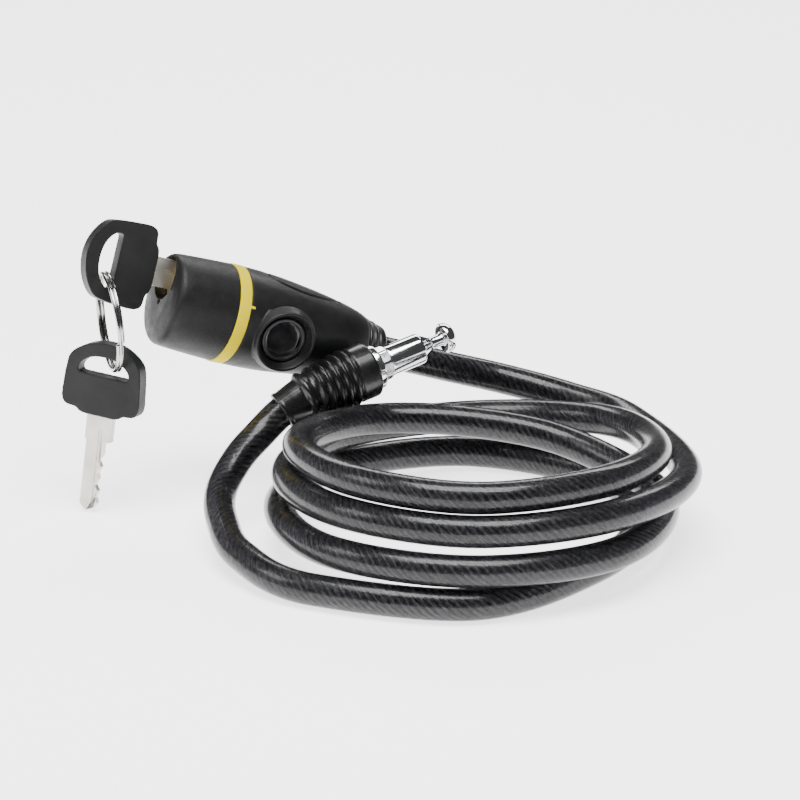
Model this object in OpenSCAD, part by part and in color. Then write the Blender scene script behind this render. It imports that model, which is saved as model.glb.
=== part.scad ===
// Coiling key cable lock: a round lock head, a sheathed steel cable and a locking pin.
// Millimetres. Origin: centre of the box round the head, keys and pin end, on the surface.
// The head, pin end and each key have their own local frame, placed by a turn and a shift.

/* [Lock head] */
// Radius of the head at the coloured band
band_r = 15.95; // [14:0.05:18]
// Distance of the key cylinder above the head's axis
plug_up = 6.6; // [5:0.1:7.5]
// Radius of the opening round the key cylinder
opening_r = 7; // [6.8:0.1:8]
// Distance of the socket from the key face
socket_x = 37.6; // [35:0.5:39]
// Tilt of the socket below the level of the head's axis
socket_tilt = 16; // [0:1:30]
// Radius of the socket bore in the housing
socket_r = 5.2; // [5.1:0.05:5.6]

/* [Lock cylinder] */
// Radius of the key cylinder
plug_r = 5.8; // [5:0.1:6]
// Running clearance round the key cylinder
plug_gap = 0.06; // [0.03:0.01:0.1]
// Distance between two wafers along the cylinder
wafer_pitch = 3; // [2.5:0.1:3.5]
// Travel of the latch bolt
bolt_travel = 3; // [2.8:0.1:3.2]
// Distance of the drive pin from the cylinder's axis
drive_r = 3; // [2.8:0.1:3.2]

/* [Pin end] */
// Radius of the locking pin's barrel
pin_r = 5; // [4.6:0.05:5.1]
// Radius of the neck the bolt goes behind
neck_r = 2; // [1.8:0.1:2.2]
// Number of ribs on the rubber boot
ribs = 6; // [4:1:8]

/* [Cable] */
// Diameter of the sheathed cable
cable_d = 10; // [9:0.1:10.2]
// Sides of the cable's outline
cable_sides = 12; // [8:1:12]

/* [Keys] */
// Thickness of a key's plastic bow
bow_t = 5; // [4:0.5:6]
// Thickness of a key's blade
blade_t = 2; // [1.6:0.1:2.1]
// Mean radius of the split ring
ring_r = 15.4; // [13:0.1:16]
// Radius of the split ring's wire
wire_r = 0.7; // [0.6:0.05:0.8]

/* [Hidden] */
$fn = 64;

// The working frame is shifted so that the box of head, keys and pin end is centred.
shift = [67.5, -45.5, 0];
head_pos = [-97.4, 41.7, 66.3];
head_turn = [-13.5, 20, 20.5];
pin_pos = [-32, 45.5, 41.3];
pin_turn = [0, -12, 29];
cuff_turn = [0, -29, 21];
ring_turn = [-13, -3, 15];
spare_turn = [-117, 81, 219];

shell_in = 13.65;
wafer_half = 5.2;
wafer_travel = 0.7;
blade_up = 1.2;

// Outline of the rear shell, radius against distance from the key face.
shell_line = [[15.9, 23.8], [15.88, 28], [15.7, 33], [15.35, 38], [14.9, 42], [14.4, 46], [13.9, 50],
  [13.3, 54], [12.6, 58], [11.85, 62], [11, 65.5], [10.3, 67.6], [9.5, 69.5]];

// Unit direction of the head's axis, and the point on it at a distance from the key face.
head_dir = [cos(20) * cos(20.5), cos(20) * sin(20.5), -sin(20)];
function on_head(s) = head_pos + s * head_dir;
cuff_dir = [cos(29) * cos(21), cos(29) * sin(21), sin(29)];
cuff_end = [-52.5, 34.1, 36.3];

// The coil as radius and height every eighth of a turn, seen clockwise from above.
coil = [[73.5, 21.5], [66.5, 23], [61.5, 26.3], [59.5, 26.9], [58, 26.4], [57.5, 23], [60, 20],
  [60, 20], [61.5, 24.5], [57, 30.5], [55.5, 35.2], [55, 36], [53.5, 35.7], [54, 33], [48.5, 28],
  [39.5, 25.5], [46, 20.5], [59, 14.5], [62.5, 14.5], [63, 15.5], [63, 15], [60, 12.5], [61, 9],
  [66, 5.5], [61, 5], [52, 5], [50, 5], [63, 5], [71.5, 5]];
function coil_at(i) = [coil[i].x * sin(45 * (i + 1)), coil[i].x * cos(45 * (i + 1)), coil[i].y];
coil_points = [for (i = [0:len(coil) - 1]) coil_at(i)];
head_tail_points = [on_head(48), on_head(60), on_head(69), on_head(78.5), [-9.5, 74, 32.5],
  [12, 76.5, 26.5], [33, 69, 23]];
pin_tail_points = [[-71, -30, 7.5], [-77.5, -10, 10.5], [-78.5, 6, 14.5], [-73.5, 18, 21],
  [-66.5, 27, 26.4], cuff_end - 9.3 * cuff_dir, cuff_end - 1.2 * cuff_dir];
route = concat(head_tail_points, coil_points, pin_tail_points);
last = len(route) - 1;
function pick(i) = route[max(0, min(last, i))];
function curve(a, b, c, d, t) =
  0.5 * ((-t * t * t + 2 * t * t - t) * a + (3 * t * t * t - 5 * t * t + 2) * b
  + (-3 * t * t * t + 4 * t * t + t) * c + (t * t * t - t * t) * d);
function lift(p) = [p.x, p.y, max(p.z, cable_d / 2)];
function at(u) = lift(curve(pick(floor(u) - 1), pick(floor(u)), pick(floor(u) + 1),
  pick(floor(u) + 2), u - floor(u)));
function unit(v) = v / norm(v);
function heading(u) = unit(at(min(u + 0.05, last)) - at(max(u - 0.05, 0)));
function ring_pts(p, t) = let (s = unit(cross(t, [0, 0, 1])), n = cross(s, t))
  [for (k = [0:cable_sides - 1]) p + cable_d / 2 * (cos(360 * k / cable_sides) * s
  + sin(360 * k / cable_sides) * n)];
// Outlines fall at whole and half steps, except in the straight ends.
u_all = concat([0, 1, 2], [for (k = [0:2 * (last - 4)]) 3 + k / 2], [last]);

module tube(lo, hi) {
  us = [for (u = u_all) if (u >= lo && u <= hi) u];
  m = len(us);
  c = cable_sides;
  pts = [for (u = us) each ring_pts(at(u), heading(u))];
  sides = [for (i = [0:m - 2], k = [0:c - 1]) each
    [[i * c + k, (i + 1) * c + k, i * c + (k + 1) % c],
    [i * c + (k + 1) % c, (i + 1) * c + k, (i + 1) * c + (k + 1) % c]]];
  first_cap = [[for (k = [0:c - 1]) k]];
  last_cap = [[for (k = [0:c - 1]) (m - 1) * c + c - 1 - k]];
  translate(shift) polyhedron(points = pts, faces = concat(first_cap, sides, last_cap));
}

module in_head() {
  translate(shift + head_pos) rotate(head_turn) children();
}

module in_plug() {
  in_head() translate([0, 0, plug_up]) children();
}

module in_socket() {
  in_head() translate([socket_x, 0, 0]) rotate([90 + socket_tilt, 0, 0]) children();
}

module in_pin() {
  translate(shift + pin_pos) rotate(pin_turn) children();
}

module turned(line) {
  rotate([0, 90, 0]) rotate_extrude($fn = 96) polygon(line);
}

module rod(x0, x1, r) {
  translate([x0, 0, 0]) rotate([0, 90, 0]) cylinder(r = r, h = x1 - x0);
}

module key_cap() color([0.09, 0.09, 0.1]) in_head() difference() {
  turned([[0, -1.2], [6, -1.1], [10, -0.85], [13, -0.4], [13.9, 0.05], [14.4, 0.6], [14.7, 1.3],
    [14.95, 3], [15.4, 10], [15.8, 19.8], [shell_in, 19.8], [shell_in, 4.3], [0, 4.3]]);
  translate([0, 0, plug_up]) rod(-2, 6, opening_r);
  translate([-2, -1, plug_up - opening_r - 1.2]) cube([4.5, 2, 3]);
}

module yellow_band() color([0.9, 0.8, 0.25]) in_head() {
  turned([[shell_in, 19.8], [band_r - 0.05, 19.8], [band_r, 20.1], [band_r, 23.5],
    [band_r - 0.05, 23.8], [shell_in, 23.8]]);
  rotate([-13, 0, 0]) intersection() {
    translate([23, -20, -0.5]) cube([2.2, 10, 1]);
    turned([[15.9, 23], [16.3, 23], [16.3, 26], [15.92, 26], [15.92, 23.8], [15.9, 23.8]]);
  }
}

module shell_body() {
  turned(concat([[0, 23.8]], shell_line, [[0, 69.5]]));
}

module rear_shell() color([0.08, 0.08, 0.09]) in_head() difference() {
  union() {
    shell_body();
    translate([socket_x, 0, 0]) rotate([90 + socket_tilt, 0, 0]) translate([0, 0, 8])
      cylinder(r1 = 13, r2 = 9.8, h = 9.3);
  }
  turned([[0, 23], [shell_in, 23], [shell_in, 43.1], [10.1, 43.1], [10.1, 58.1], [7, 58.1],
    [7, 61], [5.2, 61], [5.2, 70], [0, 70]]);
  translate([socket_x, 0, 0]) rotate([90 + socket_tilt, 0, 0]) translate([0, 0, 14.6])
    cylinder(r1 = 7.7, r2 = 9.1, h = 2.8);
  translate([socket_x, 0, 0]) rotate([90 + socket_tilt, 0, 0]) translate([0, 0, 11])
    cylinder(r = 7.35, h = 6);
}

module cable_collar() color([0.1, 0.1, 0.11]) in_head()
  turned([[5.15, 69.5], [9.3, 69.5], [9.2, 70.7], [8.3, 70.9], [8.3, 71.6], [8.8, 71.8],
    [8.5, 73], [7.6, 73.2], [7.6, 73.9], [8.1, 74.1], [7.6, 76], [7.2, 76.5], [5.15, 76.5]]);

module inner_housing() color([0.55, 0.56, 0.58]) in_head() difference() {
  union() {
    rod(4.3, 43, 13.5);
    rod(43, 58, 10);
  }
  translate([0, 0, plug_up]) rod(0, 25, plug_r + plug_gap);
  translate([0, 0, plug_up]) rod(24.3, 28.6, 6.9);
  translate([6, -2.7, plug_up - 6.25]) cube([15, 5.4, 12.5]);
  translate([6, -6.25, plug_up - 2.7]) cube([15, 12.5, 5.4]);
  translate([socket_x, 0, 0]) rotate([90 + socket_tilt, 0, 0]) {
    translate([0, 0, -12.5]) cylinder(r = socket_r, h = 40);
    translate([-9.2, 1.9, -8.4]) cube([13.5, 13, 3.6]);
    translate([-9.2, 2.8, -8.4]) cube([3, 13, 12.5]);
  }
  rod(44, 60, 6.95);
  translate([52, 0, -12]) cylinder(r = 1.5, h = 24);
}

module socket_bush() color([0.2, 0.2, 0.21]) in_socket() difference() {
  translate([0, 0, 13.6]) cylinder(r = 7.3, h = 1.6);
  translate([0, 0, 12]) cylinder(r = 5.9, h = 6);
}

module cable_crimp() color([0.6, 0.6, 0.62]) in_head() difference() {
  rod(44, 60, 6.9);
  rod(47.9, 61, 5.1);
  translate([52, 0, 4]) cylinder(r = 1.5, h = 6);
  translate([52, 0, -10]) cylinder(r = 1.5, h = 6);
}

module anchor_pin() color([0.5, 0.5, 0.52]) in_head() {
  translate([52, 0, 5.1]) cylinder(r = 1.45, h = 4.7);
}

module cylinder_plug() color([0.78, 0.62, 0.3]) in_plug() difference() {
  union() {
    rod(2.9, 4.2, 6.6);
    rod(4.2, 26.2, plug_r);
  }
  difference() {
    rod(24.6, 25.5, 8);
    rod(24, 26, 5);
  }
  translate([2, -1.3, -3.2]) cube([25, 2.6, 7.2]);
  for (i = [0:4]) {
    translate([7.4 + wafer_pitch * i, -2.4, -7]) cube([1.2, 4.8, 14]);
  }
}

module plug_clip() color([0.4, 0.4, 0.42]) in_plug() difference() {
  rod(24.65, 25.45, 6.6);
  rod(24, 26, 5);
  translate([24, -1.5, -8]) cube([2, 3, 6]);
}

module plug_cam() color([0.5, 0.48, 0.42]) in_plug() {
  rod(26.2, 27.7, 5.6);
  rotate([socket_tilt, 0, 0]) translate([0, 0, drive_r]) rod(27, 30.8, 1);
}

module wafer(i) {
  in_plug() translate([7.5 + wafer_pitch * (i - 1), 0, 0]) difference() {
    translate([0, -2.3, -wafer_half]) cube([1, 4.6, 2 * wafer_half]);
    translate([-1, -1.35, -3.9]) cube([3, 2.7, 8.2]);
  }
}

module wafer_1() color([0.8, 0.68, 0.4]) wafer(1);

module wafer_2() color([0.8, 0.68, 0.4]) wafer(2);

module wafer_3() color([0.8, 0.68, 0.4]) wafer(3);

module wafer_4() color([0.8, 0.68, 0.4]) wafer(4);

module wafer_5() color([0.8, 0.68, 0.4]) wafer(5);

// The bolt is shown drawn back, clear of the bore.
module lock_bolt() color([0.62, 0.62, 0.64]) in_socket() translate([0, bolt_travel, 0])
  intersection() {
  difference() {
    union() {
      translate([-6.8, 2.3, -8.1]) cube([10.8, 6.6, 3]);
      translate([-8.8, 3.2, -8.1]) cube([2, 6.3, 11.8]);
    }
    translate([-10, 4.5, -3.4]) cube([4, 3.7, 6.2]);
  }
  translate([-10, -3, 0]) rod(0, 16, 13);
}

module cable_head_tail() color([0.2, 0.2, 0.21]) tube(0, 7);

module cable_coil_upper() color([0.2, 0.2, 0.21]) tube(7, 21);

module cable_coil_lower() color([0.2, 0.2, 0.21]) tube(21, 35);

module cable_pin_tail() color([0.2, 0.2, 0.21]) tube(35, last);

rib_pitch = 18 / ribs;
rib_line = [for (i = [0:ribs - 1]) each
  [[6.3 + 0.3 * i, -25 + rib_pitch * i + 0.15], [7.2 + 0.3 * i, -25 + rib_pitch * i + 0.5],
  [7.6 + 0.3 * i, -25 + rib_pitch * i + 1.1], [7.6 + 0.3 * i, -25 + rib_pitch * i + 1.8],
  [7.2 + 0.3 * i, -25 + rib_pitch * i + 2.4], [6.3 + 0.3 * i, -25 + rib_pitch * i + 2.8]]];

module pin_boot() color([0.07, 0.07, 0.08]) difference() {
  union() {
    in_pin() turned(concat([[0, -25]], rib_line, [[8.7, -7], [9, -6], [9, -1], [8.6, 0], [0, 0]]));
    translate(shift + cuff_end) rotate(cuff_turn) rod(-9, 0, 6.5);
    translate(shift + cuff_end) sphere(r = 6.5, $fn = 48);
  }
  in_pin() rod(-20, 1, 4);
  translate(shift + cuff_end) rotate(cuff_turn) rod(-12, -1.1, 5.08);
}

module pin_ferrule() color([0.75, 0.76, 0.78]) in_pin() {
  rod(-19.9, 0, 3.95);
  rod(0, 2.5, 7.2);
  translate([2.5, 0, 0]) rotate([0, 90, 0]) cylinder(r = 5.6, h = 3.5, $fn = 8);
}

module locking_pin() color([0.8, 0.81, 0.83]) in_pin()
  turned([[0, 6], [4.6, 6], [pin_r, 6.4], [pin_r, 18.2], [4.6, 18.6], [neck_r, 22.4],
    [neck_r, 26.8], [4.6, 26.8], [4.9, 27.2], [4.9, 28.2], [4.5, 29.4], [3.4, 30.4],
    [1.5, 30.95], [0, 31]]);

// A key in its own frame: X from the bow's root to the tip, Z across the blade.
module bow_outline() {
  polygon([[0, -5.5], [-0.5, -7.2], [-1.5, -8.3], [-1.6, -10.5], [-1.9, -12.2], [-3.2, -13.3],
    [-5.2, -13.7], [-12, -13.3], [-17.3, -12.6], [-19, -11.6], [-20.4, -10], [-22, -7.5],
    [-23.1, -4.6], [-23.7, -1.6], [-23.8, 1.4], [-23.3, 4.4], [-22.2, 7.2], [-20.6, 9.8],
    [-19, 11.6], [-17.3, 12.6], [-12, 13.3], [-5.2, 13.7], [-3.2, 13.3], [-1.9, 12.2],
    [-1.6, 10.5], [-1.5, 8.3], [-0.5, 7.2], [0, 5.5]]);
}

module slot_outline() {
  polygon([[-13, -8.2], [-13, 8.2], [-13.4, 8.8], [-14.6, 9], [-16.1, 8.3], [-17.9, 6.1],
    [-18.9, 3.4], [-19.2, 0], [-18.9, -3.4], [-17.9, -6.1], [-16.1, -8.3], [-14.6, -9],
    [-13.4, -8.8]]);
}

module slab(t) {
  rotate([90, 0, 0]) translate([0, 0, -t / 2]) linear_extrude(t) children();
}

module bow_shape() {
  difference() {
    slab(bow_t) difference() {
      bow_outline();
      slot_outline();
    }
    translate([-8, -blade_t / 2, -3]) cube([9, blade_t, 6]);
  }
}

module blade_shape() {
  difference() {
    slab(blade_t) polygon([[-8, -3], [0, -3], [0, -4.65], [8.2, -4.65], [8.6, -4], [29.6, -4],
      [31.5, -1.6], [30.4, 0.9], [28.6, 2.2], [26.6, 1.3], [24.6, 2.1], [22.6, 0.7], [20.6, 1.9],
      [18.6, 1.2], [16.6, 2.3], [14.6, 1], [12.8, 2.3], [8.6, 2.3], [8.2, 4.65], [0, 4.65],
      [0, 3], [-8, 3]]);
    translate([1.5, blade_t / 2 - 0.5, -1.9]) cube([28, 1, 1.5]);
  }
}

module in_key() {
  in_plug() translate([-5.6, 0, blade_up]) children();
}

module key_blade() color([0.72, 0.7, 0.66]) in_key() blade_shape();

module key_bow() color([0.16, 0.16, 0.17]) in_key() bow_shape();

hook = [-115.3, 35.8, 76.5];

module split_ring() color([0.75, 0.75, 0.76]) translate(shift + hook) rotate(ring_turn)
  translate([0, 0, -ring_r]) {
    for (k = [-1, 1]) {
      rotate([0, 90, 0]) translate([0, 0, k * (wire_r - 0.04)]) rotate_extrude($fn = 72)
        translate([ring_r, 0]) circle(r = wire_r, $fn = 20);
    }
  }

spare_hook = [-112, 29.5, 46.5];

module in_spare() {
  translate(shift + spare_hook) rotate(spare_turn) translate([15.4, 0, -3.2]) children();
}

module spare_key_blade() color([0.72, 0.7, 0.66]) in_spare() blade_shape();

module spare_key_bow() color([0.16, 0.16, 0.17]) in_spare() bow_shape();

key_cap();
yellow_band();
rear_shell();
cable_collar();
inner_housing();
socket_bush();
cable_crimp();
anchor_pin();
cylinder_plug();
plug_clip();
plug_cam();
wafer_1();
wafer_2();
wafer_3();
wafer_4();
wafer_5();
lock_bolt();
cable_head_tail();
cable_coil_upper();
cable_coil_lower();
cable_pin_tail();
pin_boot();
pin_ferrule();
locking_pin();
key_blade();
key_bow();
split_ring();
spare_key_blade();
spare_key_bow();
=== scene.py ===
"""A coiling key cable lock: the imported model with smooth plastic, rubber, sheath and metal pieces."""
import math

import bmesh
import bpy
from mathutils import Euler, Matrix, Vector


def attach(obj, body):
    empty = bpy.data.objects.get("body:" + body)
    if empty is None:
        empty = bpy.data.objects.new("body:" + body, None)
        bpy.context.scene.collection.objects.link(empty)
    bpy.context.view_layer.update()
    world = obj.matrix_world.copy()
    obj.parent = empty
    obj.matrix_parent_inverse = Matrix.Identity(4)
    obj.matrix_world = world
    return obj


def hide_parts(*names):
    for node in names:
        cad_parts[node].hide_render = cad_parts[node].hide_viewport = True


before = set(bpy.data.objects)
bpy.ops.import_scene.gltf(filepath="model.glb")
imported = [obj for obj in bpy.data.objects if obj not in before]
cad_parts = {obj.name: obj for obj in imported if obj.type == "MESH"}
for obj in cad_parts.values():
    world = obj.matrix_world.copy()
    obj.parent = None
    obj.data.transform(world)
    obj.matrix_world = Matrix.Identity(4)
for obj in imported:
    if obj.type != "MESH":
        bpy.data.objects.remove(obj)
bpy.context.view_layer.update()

MM = 0.001
SHIFT = Vector((67.5, -45.5, 0.0))


def spot(x, y, z):
    """A point of the working frame in millimetres, in the row frame in metres."""
    return (Vector((x, y, z)) + SHIFT) * MM


def frame_at(pos, turn):
    """A local frame in millimetres, placed by a position and three turns in degrees."""
    angles = Euler([math.radians(a) for a in turn], "XYZ")
    return Matrix.Translation(spot(*pos)) @ angles.to_matrix().to_4x4() @ Matrix.Scale(MM, 4)


HEAD = frame_at((-97.4, 41.7, 66.3), (-13.5, 20, 20.5))
PIN = frame_at((-32, 45.5, 41.3), (0, -12, 29))
CUFF = frame_at((-52.5, 34.1, 36.3), (0, -29, 21))
SOCKET = HEAD @ Matrix.Translation((37.6, 0, 0)) @ Matrix.Rotation(math.radians(106), 4, "X")
KEY = HEAD @ Matrix.Translation((-5.6, 0, 7.8))
RING = frame_at((-115.3, 35.8, 76.5), (-13, -3, 15)) @ Matrix.Translation((0, 0, -15.4))
SPARE = frame_at((-112, 29.5, 46.5), (-117, 81, 219)) @ Matrix.Translation((15.4, 0, -3.2))

# ---------------------------------------------------------------- camera
cam = bpy.data.objects.new("camera", bpy.data.cameras.new("camera"))
bpy.context.scene.collection.objects.link(cam)
cam.data.lens = 216
cam.data.sensor_width = 36
cam.data.clip_end = 20
look = Vector((0.045, -0.0303, 0.0417))
away = Vector((0, -math.cos(math.radians(20)), math.sin(math.radians(20))))
cam.location = look + 1.5 * away
cam.rotation_euler = (math.radians(70), 0, 0)
bpy.context.scene.camera = cam


# ---------------------------------------------------------------- materials
class Mat:
    """A Principled material with a few helpers for procedural detail."""

    def __init__(self, name, color, rough, metal=0.0, spec=0.5):
        self.mat = bpy.data.materials.new(name)
        self.mat.use_nodes = True
        self.tree = self.mat.node_tree
        self.bsdf = self.tree.nodes["Principled BSDF"]
        self.set("Base Color", (*color, 1))
        self.set("Roughness", rough)
        self.set("Metallic", metal)
        self.set("Specular IOR Level", spec)
        self.coord = self.node("ShaderNodeTexCoord")

    def set(self, socket, value):
        self.bsdf.inputs[socket].default_value = value

    def node(self, kind, **values):
        n = self.tree.nodes.new(kind)
        for key, value in values.items():
            if key in n.inputs:
                n.inputs[key].default_value = value
            else:
                setattr(n, key, value)
        return n

    def link(self, a, b):
        self.tree.links.new(a, b)

    def noise(self, scale, detail=4.0, rough=0.55, coord="Object"):
        n = self.node("ShaderNodeTexNoise", Scale=scale, Detail=detail, Roughness=rough)
        self.link(self.coord.outputs[coord], n.inputs["Vector"])
        return n.outputs["Fac"]

    def ramp(self, fac, stops):
        r = self.node("ShaderNodeValToRGB")
        while len(r.color_ramp.elements) > 1:
            r.color_ramp.elements.remove(r.color_ramp.elements[-1])
        r.color_ramp.elements[0].position = stops[0][0]
        r.color_ramp.elements[0].color = stops[0][1]
        for place, color in stops[1:]:
            e = r.color_ramp.elements.new(place)
            e.color = color
        self.link(fac, r.inputs["Fac"])
        return r.outputs["Color"]

    def color_noise(self, scale, dark, light, low=0.35, high=0.65):
        out = self.ramp(self.noise(scale), [(low, (*dark, 1)), (high, (*light, 1))])
        self.link(out, self.bsdf.inputs["Base Color"])
        return self

    def rough_noise(self, scale, low, high):
        m = self.node("ShaderNodeMapRange")
        m.inputs["From Min"].default_value = 0.3
        m.inputs["From Max"].default_value = 0.7
        m.inputs["To Min"].default_value = low
        m.inputs["To Max"].default_value = high
        self.link(self.noise(scale), m.inputs["Value"])
        self.link(m.outputs["Result"], self.bsdf.inputs["Roughness"])
        return self

    def bump(self, scale, strength, distance, detail=3.0):
        b = self.node("ShaderNodeBump", Strength=strength, Distance=distance)
        self.link(self.noise(scale, detail), b.inputs["Height"])
        self.link(b.outputs["Normal"], self.bsdf.inputs["Normal"])
        return self


def gray(v):
    return (v, v, v * 1.03)


shell_mat = Mat("shell_plastic", gray(0.005), 0.45, spec=0.24)
shell_mat.color_noise(90, gray(0.006), gray(0.011)).rough_noise(260, 0.34, 0.5)
shell_mat.bump(2600, 0.3, 0.00012)
cap_mat = Mat("cap_plastic", gray(0.006), 0.5, spec=0.24)
cap_mat.color_noise(4200, gray(0.004), gray(0.012), 0.35, 0.7).rough_noise(260, 0.36, 0.52)
cap_mat.bump(2000, 0.6, 0.00018)
band_mat = Mat("band_plastic", (0.66, 0.53, 0.0), 0.5, spec=0.05)
band_mat.color_noise(60, (0.64, 0.51, 0.0), (0.68, 0.55, 0.001)).bump(2600, 0.12, 0.0001)
collar_mat = Mat("collar_plastic", gray(0.008), 0.3, spec=0.5)
collar_mat.rough_noise(200, 0.25, 0.38).bump(2400, 0.15, 0.0001)
boot_mat = Mat("boot_rubber", gray(0.005), 0.28, spec=0.45)
boot_mat.color_noise(80, gray(0.005), gray(0.010)).rough_noise(150, 0.2, 0.34)
boot_mat.bump(900, 0.1, 0.0002)
bow_mat = Mat("bow_plastic", gray(0.007), 0.45, spec=0.26)
bow_mat.color_noise(80, gray(0.005), gray(0.010)).rough_noise(220, 0.36, 0.5)
bow_mat.bump(2400, 0.22, 0.00012)
chrome_mat = Mat("chrome", (0.86, 0.87, 0.89), 0.08, metal=1.0)
chrome_mat.rough_noise(120, 0.05, 0.16).bump(700, 0.05, 0.0001)
nickel_mat = Mat("nickel", (0.66, 0.63, 0.58), 0.38, metal=1.0)
nickel_mat.color_noise(160, (0.6, 0.57, 0.51), (0.74, 0.71, 0.66)).rough_noise(300, 0.34, 0.44)
nickel_mat.bump(1800, 0.04, 0.00004)
ring_mat = Mat("ring_steel", (0.46, 0.45, 0.44), 0.2, metal=1.0)
ring_mat.rough_noise(400, 0.1, 0.26).bump(1500, 0.06, 0.0001)
brass_mat = Mat("brass", (0.9, 0.66, 0.26), 0.42, metal=0.8)
brass_mat.color_noise(200, (0.84, 0.6, 0.22), (0.95, 0.72, 0.32)).rough_noise(350, 0.36, 0.5)
brass_mat.bump(1600, 0.15, 0.0001)
zinc_mat = Mat("zinc", (0.42, 0.42, 0.43), 0.45, metal=1.0)
zinc_mat.color_noise(150, gray(0.36), gray(0.48)).bump(1400, 0.2, 0.0001)
steel_mat = Mat("steel", (0.5, 0.5, 0.51), 0.3, metal=1.0)
steel_mat.rough_noise(300, 0.22, 0.4).bump(1500, 0.1, 0.0001)
bush_mat = Mat("bush_black", gray(0.01), 0.35, spec=0.5)
bush_mat.rough_noise(240, 0.28, 0.42).bump(1800, 0.12, 0.0001)

strand_mat = Mat("strand_steel", (0.16, 0.16, 0.16), 0.35, metal=0.6, spec=0.4)
strand_mat.color_noise(900, gray(0.085), gray(0.18)).rough_noise(700, 0.32, 0.5)
strand_mat.bump(3200, 0.15, 0.0001)
sheath_mat = Mat("clear_sheath", (0.27, 0.265, 0.28), 0.2, spec=1.0)
sheath_mat.set("Transmission Weight", 1.0)
sheath_mat.set("IOR", 1.38)
sheath_mat.rough_noise(60, 0.18, 0.24)
sheath_mat.bump(160, 0.03, 0.0003)


# ---------------------------------------------------------------- mesh helpers
def add_mesh(name, verts, faces, mat, body, smooth=True):
    mesh = bpy.data.meshes.new(name)
    mesh.from_pydata([tuple(v) for v in verts], [], faces)
    mesh.update()
    obj = bpy.data.objects.new(name, mesh)
    bpy.context.scene.collection.objects.link(obj)
    mesh.materials.append(mat.mat)
    for p in mesh.polygons:
        p.use_smooth = smooth
    bm = bmesh.new()
    bm.from_mesh(mesh)
    bmesh.ops.recalc_face_normals(bm, faces=bm.faces)
    bm.to_mesh(mesh)
    bm.free()
    if body:
        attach(obj, body)
    return obj


def lathe(name, line, place, mat, body, sides=128, radius=None, closed=False):
    """A profile of (distance, radius) pairs turned about the local X axis."""
    verts = []
    for x, r in line:
        for k in range(sides):
            a = 2 * math.pi * k / sides
            q = radius(x, r, a) if radius else r
            verts.append(place @ Vector((x, q * math.cos(a), q * math.sin(a))))
    faces = []
    rows = len(line)
    for i in range(rows if closed else rows - 1):
        j = (i + 1) % rows
        for k in range(sides):
            n = (k + 1) % sides
            faces.append((i * sides + k, j * sides + k, j * sides + n, i * sides + n))
    if not closed:
        faces.append(tuple(range(sides)))
        faces.append(tuple(range((rows - 1) * sides, rows * sides)))
    return add_mesh(name, verts, faces, mat, body)


def rounded(points, radius=0.5, rounds=3):
    """A polyline with its corners cut again and again, so that it turns in smooth bends."""
    pts = [Vector(p) for p in points]
    for turn in range(rounds):
        out = [pts[0]]
        for a, b in zip(pts[:-1], pts[1:]):
            span = (b - a).length
            cut = min(radius / (1.6 ** turn), span * 0.25)
            if span > 1e-6:
                out += [a + (b - a) * (cut / span), b - (b - a) * (cut / span)]
        out.append(pts[-1])
        pts = out
    return [tuple(p) for p in pts]


def apply_all(obj):
    """Bakes a piece's modifiers into its mesh."""
    deps = bpy.context.evaluated_depsgraph_get()
    mesh = bpy.data.meshes.new_from_object(obj.evaluated_get(deps))
    obj.modifiers.clear()
    obj.data = mesh


def combine(obj, tools, operation):
    """Adds the tools to a piece, or takes them from it, and then deletes them."""
    for tool in tools:
        m = obj.modifiers.new("combine", "BOOLEAN")
        m.operation = operation
        m.solver = "EXACT"
        m.object = tool
    apply_all(obj)
    for tool in tools:
        bpy.data.objects.remove(tool, do_unlink=True)


def cut(obj, *tools):
    combine(obj, tools, "DIFFERENCE")


def join(obj, *tools):
    combine(obj, tools, "UNION")


def soften(obj, voxel, passes=4, factor=0.5):
    """Remeshes a piece in small voxels and smooths it, so that its edges come out rounded."""
    m = obj.modifiers.new("remesh", "REMESH")
    m.mode = "VOXEL"
    m.voxel_size = voxel
    m.use_smooth_shade = True
    s = obj.modifiers.new("smooth", "SMOOTH")
    s.factor = factor
    s.iterations = passes
    apply_all(obj)
    for p in obj.data.polygons:
        p.use_smooth = True


def rod(place, x0, x1, r0, r1, mat, sides=96):
    """A plain solid used to cut or join other pieces, along local X."""
    return lathe("tool", [(x0, r0), (x1, r1)], place, mat, None, sides)


SOCKET_X = SOCKET @ Matrix.Rotation(math.radians(-90), 4, "Y")

# ---------------------------------------------------------------- cable
# Points in millimetres, and the coil as radius and height every eighth of a turn.
ROUTE_HEAD = [(-9.5, 74, 32.5), (12, 76.5, 26.5), (33, 69, 23)]
COIL = [(73.5, 21.5), (66.5, 23), (61.5, 26.3), (59.5, 26.9), (58, 26.4), (57.5, 23), (60, 20),
        (60, 20), (61.5, 24.5), (57, 30.5), (55.5, 35.2), (55, 36), (53.5, 35.7), (54, 33),
        (48.5, 28), (39.5, 25.5), (46, 20.5), (59, 14.5), (62.5, 14.5), (63, 15.5), (63, 15),
        (60, 12.5), (61, 9), (66, 5.5), (61, 5), (52, 5), (50, 5), (63, 5), (71.5, 5)]
ROUTE_PIN = [(-71, -30, 7.5), (-77.5, -10, 10.5), (-78.5, 6, 14.5), (-73.5, 18, 21), (-66.5, 27, 26.4)]


def cable_points():
    """The cable's route: out of the head, round the coil and up into the boot."""
    pts = [HEAD @ Vector((s, 0, 0)) for s in (48, 60, 69, 78.5)]
    pts += [spot(*p) for p in ROUTE_HEAD]
    for i, (r, z) in enumerate(COIL):
        a = math.radians(45 * (i + 1))
        pts.append(spot(r * math.sin(a), r * math.cos(a), z))
    pts += [spot(*p) for p in ROUTE_PIN]
    pts += [CUFF @ Vector((s, 0, 0)) for s in (-9.3, -1.2)]
    return pts


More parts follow.
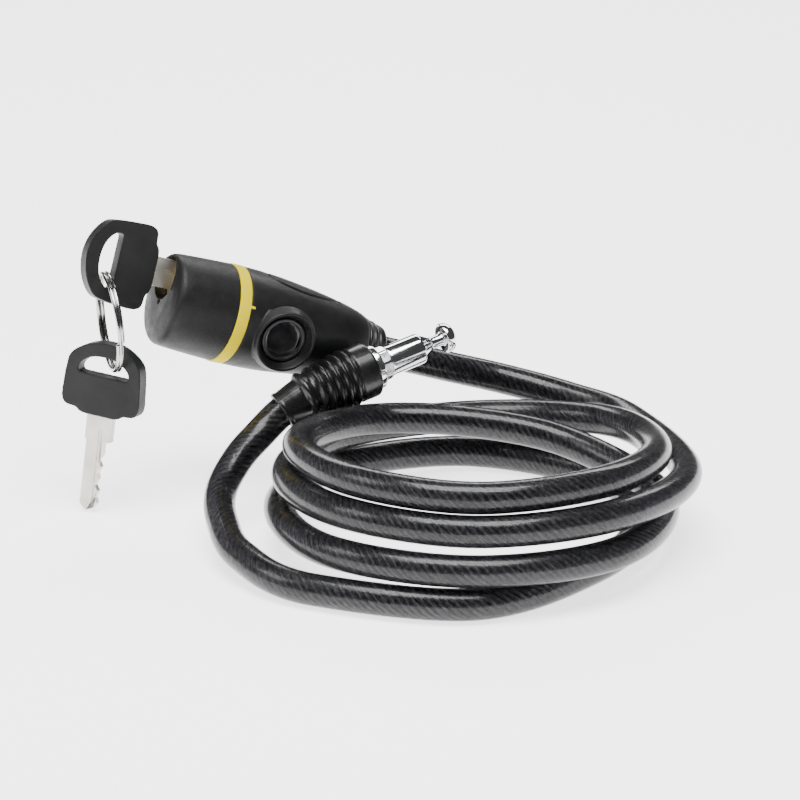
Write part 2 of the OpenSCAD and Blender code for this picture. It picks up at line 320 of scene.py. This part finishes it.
def curve(a, b, c, d, t):
    return 0.5 * ((-t ** 3 + 2 * t * t - t) * a + (3 * t ** 3 - 5 * t * t + 2) * b
                  + (-3 * t ** 3 + 4 * t * t + t) * c + (t ** 3 - t * t) * d)


def even_path(points, step, parts, lowest=None):
    """A smooth curve through the points, cut at even steps and kept above the lowest height."""
    last = len(points) - 1
    fine = []
    for i in range(last):
        a, b, c, d = (points[max(0, min(last, i + k))] for k in (-1, 0, 1, 2))
        for k in range(parts):
            p = curve(a, b, c, d, k / parts)
            if lowest is not None:
                p.z = max(p.z, lowest)
            fine.append(p)
    fine.append(points[-1])
    out = [fine[0]]
    left = step
    for a, b in zip(fine[:-1], fine[1:]):
        span = (b - a).length
        while span >= left:
            a = a + (b - a) * (left / span)
            span -= left
            out.append(a)
            left = step
        left -= span
    return out


def path_length(points):
    return sum(((b - a).length for a, b in zip(points[:-1], points[1:])), 0.0)


def frames(path):
    """Each point of a path with its sideways, upward and forward directions."""
    out = []
    for i, p in enumerate(path):
        t = (path[min(i + 1, len(path) - 1)] - path[max(i - 1, 0)]).normalized()
        side = t.cross(Vector((0, 0, 1))).normalized()
        out.append((p, side, side.cross(t), t))
    return out


def sweep(name, path, radius, sides, mat, body, cap=True, twist=0.0):
    """A tube along path; radius(distance, angle) gives its size in metres, twist its turns a metre."""
    verts = []
    dist = 0.0
    rows = frames(path)
    for i, (p, side, up, t) in enumerate(rows):
        if i:
            dist += (p - rows[i - 1][0]).length
        for k in range(sides):
            a = 2 * math.pi * k / sides
            r = radius(dist, a)
            b = a - 2 * math.pi * twist * dist
            verts.append(p + r * (math.cos(b) * side + math.sin(b) * up))
    faces = []
    for i in range(len(rows) - 1):
        for k in range(sides):
            n = (k + 1) % sides
            faces.append((i * sides + k, (i + 1) * sides + k, (i + 1) * sides + n, i * sides + n))
    if cap:
        faces.append(tuple(range(sides)))
        faces.append(tuple(range((len(rows) - 1) * sides, len(rows) * sides)))
    return add_mesh(name, verts, faces, mat, body)


CABLE_R = 0.005
LOBES = 10  # strands round the steel core
PITCH = 0.024  # length of one turn of a strand

path = even_path(cable_points(), 0.0025, 60, CABLE_R)
sheath = sweep("cable_sheath", path, lambda s, a: CABLE_R, 40, sheath_mat, "lock")


def strand_radius(s, a):
    """The core's radius at an angle: a bulge for each strand and a furrow between two."""
    return 0.0031 + 0.00115 * abs(math.cos(0.5 * a * LOBES)) ** 0.6


core_path = even_path(cable_points(), 0.0015, 60, CABLE_R)
core = sweep("cable_strands", core_path, strand_radius, LOBES * 8, strand_mat, "lock", twist=1 / PITCH)
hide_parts("cable_head_tail", "cable_coil_upper", "cable_coil_lower", "cable_pin_tail")

# ---------------------------------------------------------------- head
cap_line = rounded([(-1.2, 0.0), (-1.1, 6), (-0.85, 10), (-0.4, 13), (0.1, 14.1), (1.0, 14.75),
                    (3, 15.0), (10, 15.4), (19.6, 15.8), (19.8, 15.7), (19.8, 13.7), (4.4, 13.7),
                    (4.4, 0.0)], radius=0.35)
cap = lathe("cap_shell", [(x, max(r, 0.01)) for x, r in cap_line], HEAD, cap_mat, None, 160)
UP = Matrix.Translation((0, 0, 6.6))
cut(cap, rod(HEAD @ UP, -3, 7, 7.05, 7.0, cap_mat))
notch = rod(HEAD @ Matrix.Translation((0, 0, -1.4)) @ Matrix.Rotation(math.radians(12), 4, "Y"),
            -3, 2.6, 1.1, 1.1, cap_mat, 4)
cut(cap, notch)
soften(cap, 0.0002, 2)
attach(cap, "lock")
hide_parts("key_cap")

band = lathe("band_ring", rounded([(19.8, 13.7), (19.8, 15.7), (20.0, 15.98), (21.8, 16.05), (23.6, 15.98),
                                   (23.8, 15.7), (23.8, 13.7)], radius=0.25), HEAD, band_mat, None, 160,
             closed=True)
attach(band, "lock")
tab = add_mesh("band_tab", [HEAD @ Matrix.Rotation(math.radians(-13), 4, "X") @ Vector(p) for p in (
    (23.4, -15.7, -0.5), (25.2, -15.7, -0.4), (25.2, -15.7, 0.4), (23.4, -15.7, 0.5),
    (23.4, -16.25, -0.45), (25.1, -16.2, -0.35), (25.1, -16.2, 0.35), (23.4, -16.25, 0.45))],
    [(0, 1, 2, 3), (4, 5, 6, 7), (0, 1, 5, 4), (1, 2, 6, 5), (2, 3, 7, 6), (3, 0, 4, 7)], band_mat,
    "lock", smooth=False)
bev = tab.modifiers.new("bevel", "BEVEL")
bev.width = 0.00015
bev.segments = 3
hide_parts("yellow_band")

shell_line = [(23.8, 15.9), (28, 15.88), (33, 15.7), (38, 15.35), (42, 14.9), (46, 14.4), (50, 13.9),
              (54, 13.3), (58, 12.6), (62, 11.85), (65.5, 11), (67.6, 10.3), (69.5, 9.5)]
outer = rounded([(23.8, 13.7), (23.8, 15.75)] + shell_line + [(69.5, 5.3)], radius=1.2)
inner = [(61, 5.3), (61, 7), (58.2, 7), (58.2, 10.1), (43.2, 10.1), (43.2, 13.7), (23.8, 13.7)]
shell = lathe("rear_body", outer + inner, HEAD, shell_mat, None, 160, closed=True)
boss = rod(SOCKET_X, 13.75, 17.3, 11.1, 9.8, shell_mat)
join(shell, boss)
oval_place = HEAD @ Matrix.Translation((45, 0, 0)) @ Matrix.Rotation(math.radians(12), 4, "X")


def oval_ring(name, a, b, c, d, lift):
    """An oval frame, as deep as the surface curves, that follows the tapering shell."""
    verts, faces = [], []
    n = 96
    for scale_a, scale_b in ((a, b), (c, d)):
        for depth in (0, 1):
            for k in range(n):
                t = 2 * math.pi * k / n
                x = scale_a * math.cos(t)
                y = scale_b * math.sin(t) * (1 - 0.22 * math.cos(t))
                q = 45 + x
                r = 20.0
                for (x0, r0), (x1, r1) in zip(shell_line[:-1], shell_line[1:]):
                    if x0 <= q <= x1:
                        r = r0 + (r1 - r0) * (q - x0) / (x1 - x0)
                z = math.sqrt(max(r * r - y * y, 1)) - lift
                verts.append(oval_place @ Vector((x, y, z if depth else z + 2.5)))
    for k in range(n):
        m = (k + 1) % n
        faces += [(k, m, n + m, n + k), (2 * n + k, 2 * n + m, 3 * n + m, 3 * n + k),
                  (k, m, 2 * n + m, 2 * n + k), (n + k, n + m, 3 * n + m, 3 * n + k)]
    return add_mesh(name, verts, faces, shell_mat, None)


cut(shell, rod(SOCKET_X, 14.6, 17.8, 7.7, 9.3, shell_mat), rod(SOCKET_X, 11, 17, 7.35, 7.35, shell_mat))
cut(shell, oval_ring("oval", 14.3, 5.9, 13.0, 4.9, 0.75))
soften(shell, 0.00024, 5)
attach(shell, "lock")
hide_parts("rear_shell")

bush = lathe("socket_ring", rounded([(13.7, 5.95), (14.9, 5.95), (15.15, 6.2), (15.15, 6.95),
                                     (14.9, 7.25), (13.7, 7.25)], radius=0.3),
             SOCKET_X, bush_mat, None, 96, closed=True)
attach(bush, "lock")
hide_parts("socket_bush")

collar = lathe("collar_shell", rounded([(69.5, 5.2), (69.5, 9.25), (70.7, 9.15), (70.9, 8.3), (71.6, 8.3),
                                        (71.8, 8.8), (73, 8.5), (73.2, 7.6), (73.9, 7.6), (74.1, 8.1),
                                        (76, 7.6), (76.5, 7.1), (76.5, 5.2)], radius=0.35),
               HEAD, collar_mat, None, 128, closed=True)
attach(collar, "lock")
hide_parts("cable_collar")

# ---------------------------------------------------------------- boot and pin
boot_path = [CUFF @ Vector((s, 0, 0)) for s in (-9, -7, -5, -3)]
boot_path += [PIN @ Vector((s, 0, 0)) for s in (-23, -20, -10, 0)]
boot_line = even_path(boot_path, 0.00022, 40)
boot_len = path_length(boot_line) / MM


def boot_radius(s, a):
    """The boot's radius: a plain cuff, six ribs that grow, a plain sleeve and a moulding seam."""
    x = s / MM - boot_len
    if x < -25:
        r = 6.1 + 0.5 * (x + boot_len) / (boot_len - 25)
        if x < -boot_len + 1.2:
            r += 0.25
    elif x < -7:
        f = (x + 25) / 3.0
        i = math.floor(f)
        base = 6.75 + 0.3 * i
        wave = 0.5 - 0.5 * math.cos(2 * math.pi * (f - i))
        r = base + 1.35 * wave ** 0.75 - 0.1
    elif x < -6:
        r = 8.5 + 0.5 * math.sin(0.5 * math.pi * (x + 7))
    else:
        r = 9.0 - 0.45 * max(0.0, (x + 0.9) / 0.9) ** 2
    seam = 0.14 * math.exp(-((math.cos(a + 0.6)) / 0.03) ** 2)
    return (r + seam) * MM


boot = sweep("rubber_boot", boot_line, boot_radius, 120, boot_mat, "lock")
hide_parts("pin_boot")


def collar_sides(x, r, a):
    """Eight flats on the ferrule behind its flange."""
    if 2.6 < x < 6.2 and r > 4.5:
        w = math.pi / 8
        return min(r, 5.25 / math.cos(((a + w) % (2 * w)) - w))
    return r


ferrule = lathe("ferrule", rounded([(0, 4), (0, 7.0), (0.3, 7.3), (2.1, 7.3), (2.5, 6.9), (2.5, 5.55),
                                    (5.6, 5.55), (6, 5.2), (6, 0.5)], radius=0.25), PIN, chrome_mat,
                "lock", 192, radius=collar_sides)
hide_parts("pin_ferrule")

pin_line = rounded([(6, 0.4), (6, 4.6), (6.4, 5.0), (18.2, 5), (18.7, 4.5), (22.4, 2.0), (26.8, 2.0),
                    (26.8, 4.6), (27.2, 4.9), (28.2, 4.9), (29.4, 4.5), (30.4, 3.4), (30.95, 1.5),
                    (31, 0.1)], radius=0.3)
pin = lathe("lock_pin", pin_line, PIN, chrome_mat, "lock", 160)
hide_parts("locking_pin")

# ---------------------------------------------------------------- keys
BOW = [(0, -5.5), (-0.5, -7.2), (-1.5, -8.3), (-1.6, -10.5), (-1.9, -12.2), (-3.2, -13.3), (-5.2, -13.7),
       (-12, -13.3), (-17.3, -12.6), (-19, -11.6), (-20.4, -10), (-22, -7.5), (-23.1, -4.6), (-23.7, -1.6),
       (-23.8, 1.4), (-23.3, 4.4), (-22.2, 7.2), (-20.6, 9.8), (-19, 11.6), (-17.3, 12.6), (-12, 13.3),
       (-5.2, 13.7), (-3.2, 13.3), (-1.9, 12.2), (-1.6, 10.5), (-1.5, 8.3), (-0.5, 7.2), (0, 5.5)]
SLOT = [(-13, -8.2), (-13, 8.2), (-13.4, 8.8), (-14.6, 9), (-16.1, 8.3), (-17.9, 6.1), (-18.9, 3.4),
        (-19.2, 0), (-18.9, -3.4), (-17.9, -6.1), (-16.1, -8.3), (-14.6, -9), (-13.4, -8.8)]
BLADE = [(-8, -3), (0, -3), (0, -4.65), (8.2, -4.65), (8.6, -4), (29.6, -4), (31.5, -1.6), (30.4, 0.9),
         (28.6, 2.2), (26.6, 1.3), (24.6, 2.1), (22.6, 0.7), (20.6, 1.9), (18.6, 1.2), (16.6, 2.3),
         (14.6, 1), (12.8, 2.3), (8.6, 2.3), (8.2, 4.65), (0, 4.65), (0, 3), (-8, 3)]


def closed_round(points, radius, rounds=2):
    """A closed outline with its corners cut, as rounded() does for an open one."""
    pts = [Vector(p) for p in points]
    for turn in range(rounds):
        out = []
        for a, b in zip(pts, pts[1:] + pts[:1]):
            span = (b - a).length
            c = min(radius / (1.6 ** turn), span * 0.25)
            if span > 1e-6:
                out += [a + (b - a) * (c / span), b - (b - a) * (c / span)]
        pts = out
    return [tuple(p) for p in pts]


def slab(name, line, half, place, mat):
    """An outline in local X and Z made into a plate that reaches half its thickness each way."""
    n = len(line)
    verts = [place @ Vector((x, y, z)) for y in (-half, half) for x, z in line]
    faces = [tuple(range(n)), tuple(range(2 * n - 1, n - 1, -1))]
    faces += [(k, (k + 1) % n, n + (k + 1) % n, n + k) for k in range(n)]
    return add_mesh(name, verts, faces, mat, None)


def make_key(tag, place, body, blade_node, bow_node):
    bow = slab(tag + "_bow_body", closed_round(BOW, 0.8), 2.5, place, bow_mat)
    cut(bow, slab("tool", closed_round(SLOT, 0.8), 4, place, bow_mat))
    soften(bow, 0.0002, 5)
    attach(bow, body)
    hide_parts(bow_node)
    blade = slab(tag + "_blade_body", closed_round(BLADE, 0.25, 1), 1.0, place, nickel_mat)
    groove = slab("tool", [(1.5, -1.9), (29.5, -1.9), (29.5, -0.4), (1.5, -0.4)], 0.5,
                  place @ Matrix.Translation((0, 1.0, 0)), nickel_mat)
    other = slab("tool", [(3.5, 0.2), (30.0, 0.2), (30.0, 1.0), (3.5, 1.0)], 0.35,
                 place @ Matrix.Translation((0, -1.0, 0)), nickel_mat)
    cut(blade, groove, other)
    b = blade.modifiers.new("bevel", "BEVEL")
    b.width = 0.00012
    b.segments = 2
    b.limit_method = "ANGLE"
    b.angle_limit = math.radians(40)
    for p in blade.data.polygons:
        p.use_smooth = False
    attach(blade, body)
    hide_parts(blade_node)


make_key("key", KEY, "key", "key_blade", "key_bow")
make_key("spare", SPARE, "spare", "spare_key_blade", "spare_key_bow")

turns = []
for k in range(0, 721, 5):
    a = math.radians(k + 200)
    lift = (-0.68 + 1.36 * min(1.0, max(0.0, (k - 270) / 180.0)))
    turns.append(RING @ Vector((lift, 15.4 * math.cos(a), 15.4 * math.sin(a))))


def wire(name, points, radius, mat, body, sides=20):
    verts, faces = [], []
    n = len(points)
    axis = (RING.to_3x3() @ Vector((1, 0, 0))).normalized()
    for i, p in enumerate(points):
        t = (points[min(i + 1, n - 1)] - points[max(i - 1, 0)]).normalized()
        side = t.cross(axis).normalized()
        up = side.cross(t)
        for k in range(sides):
            a = 2 * math.pi * k / sides
            verts.append(p + radius * (math.cos(a) * side + math.sin(a) * up))
    for i in range(n - 1):
        for k in range(sides):
            m = (k + 1) % sides
            faces.append((i * sides + k, (i + 1) * sides + k, (i + 1) * sides + m, i * sides + m))
    faces.append(tuple(range(sides)))
    faces.append(tuple(range((n - 1) * sides, n * sides)))
    return add_mesh(name, verts, faces, mat, body)


ring = wire("ring_wire", turns, 0.00068, ring_mat, "ring")
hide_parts("split_ring")

# ---------------------------------------------------------------- carried-over nodes
for name, mat in (("inner_housing", zinc_mat), ("cable_crimp", zinc_mat), ("anchor_pin", steel_mat),
                  ("cylinder_plug", brass_mat), ("plug_clip", steel_mat), ("plug_cam", zinc_mat),
                  ("lock_bolt", steel_mat), ("wafer_1", brass_mat), ("wafer_2", brass_mat),
                  ("wafer_3", brass_mat), ("wafer_4", brass_mat), ("wafer_5", brass_mat)):
    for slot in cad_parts[name].material_slots:
        slot.material = mat.mat

# ---------------------------------------------------------------- floor and light
floor_mesh = bpy.data.meshes.new("floor")
floor_mesh.from_pydata([(-4, -4, 0), (4, -4, 0), (4, 6, 0), (-4, 6, 0)], [], [(0, 1, 2, 3)])
floor = bpy.data.objects.new("floor", floor_mesh)
bpy.context.scene.collection.objects.link(floor)
floor_mat = Mat("floor", (0.95, 0.95, 0.95), 0.9, spec=0.05)
floor_mat.set("Emission Color", (1, 1, 1, 1))
floor_mat.set("Emission Strength", 2.2)
floor_mat.color_noise(3, (0.94, 0.94, 0.94), (0.96, 0.96, 0.96))
floor_mesh.materials.append(floor_mat.mat)
floor.location.z = -0.0002

world = bpy.data.worlds.new("world")
bpy.context.scene.world = world
world.use_nodes = True
world.node_tree.nodes["Background"].inputs["Color"].default_value = (1, 1, 1, 1)
world.node_tree.nodes["Background"].inputs["Strength"].default_value = 0.06


def area(name, pos, aim, size, power, size_y=None):
    data = bpy.data.lights.new(name, "AREA")
    data.energy = power
    data.size = size
    if size_y:
        data.shape = "RECTANGLE"
        data.size_y = size_y
    obj = bpy.data.objects.new(name, data)
    bpy.context.scene.collection.objects.link(obj)
    obj.location = pos
    obj.rotation_euler = (Vector(aim) - Vector(pos)).to_track_quat("-Z", "Y").to_euler()
    return obj


area("top_light", (0.0, -0.27, 1.1), (0.03, -0.03, 0.02), 0.9, 27, 0.65)
area("back_light", (0.1, 0.95, 0.75), (0.03, -0.03, 0.03), 1.2, 9, 0.3)
area("left_light", (-1.0, -0.25, 0.8), (0.0, 0, 0.04), 0.5, 5)
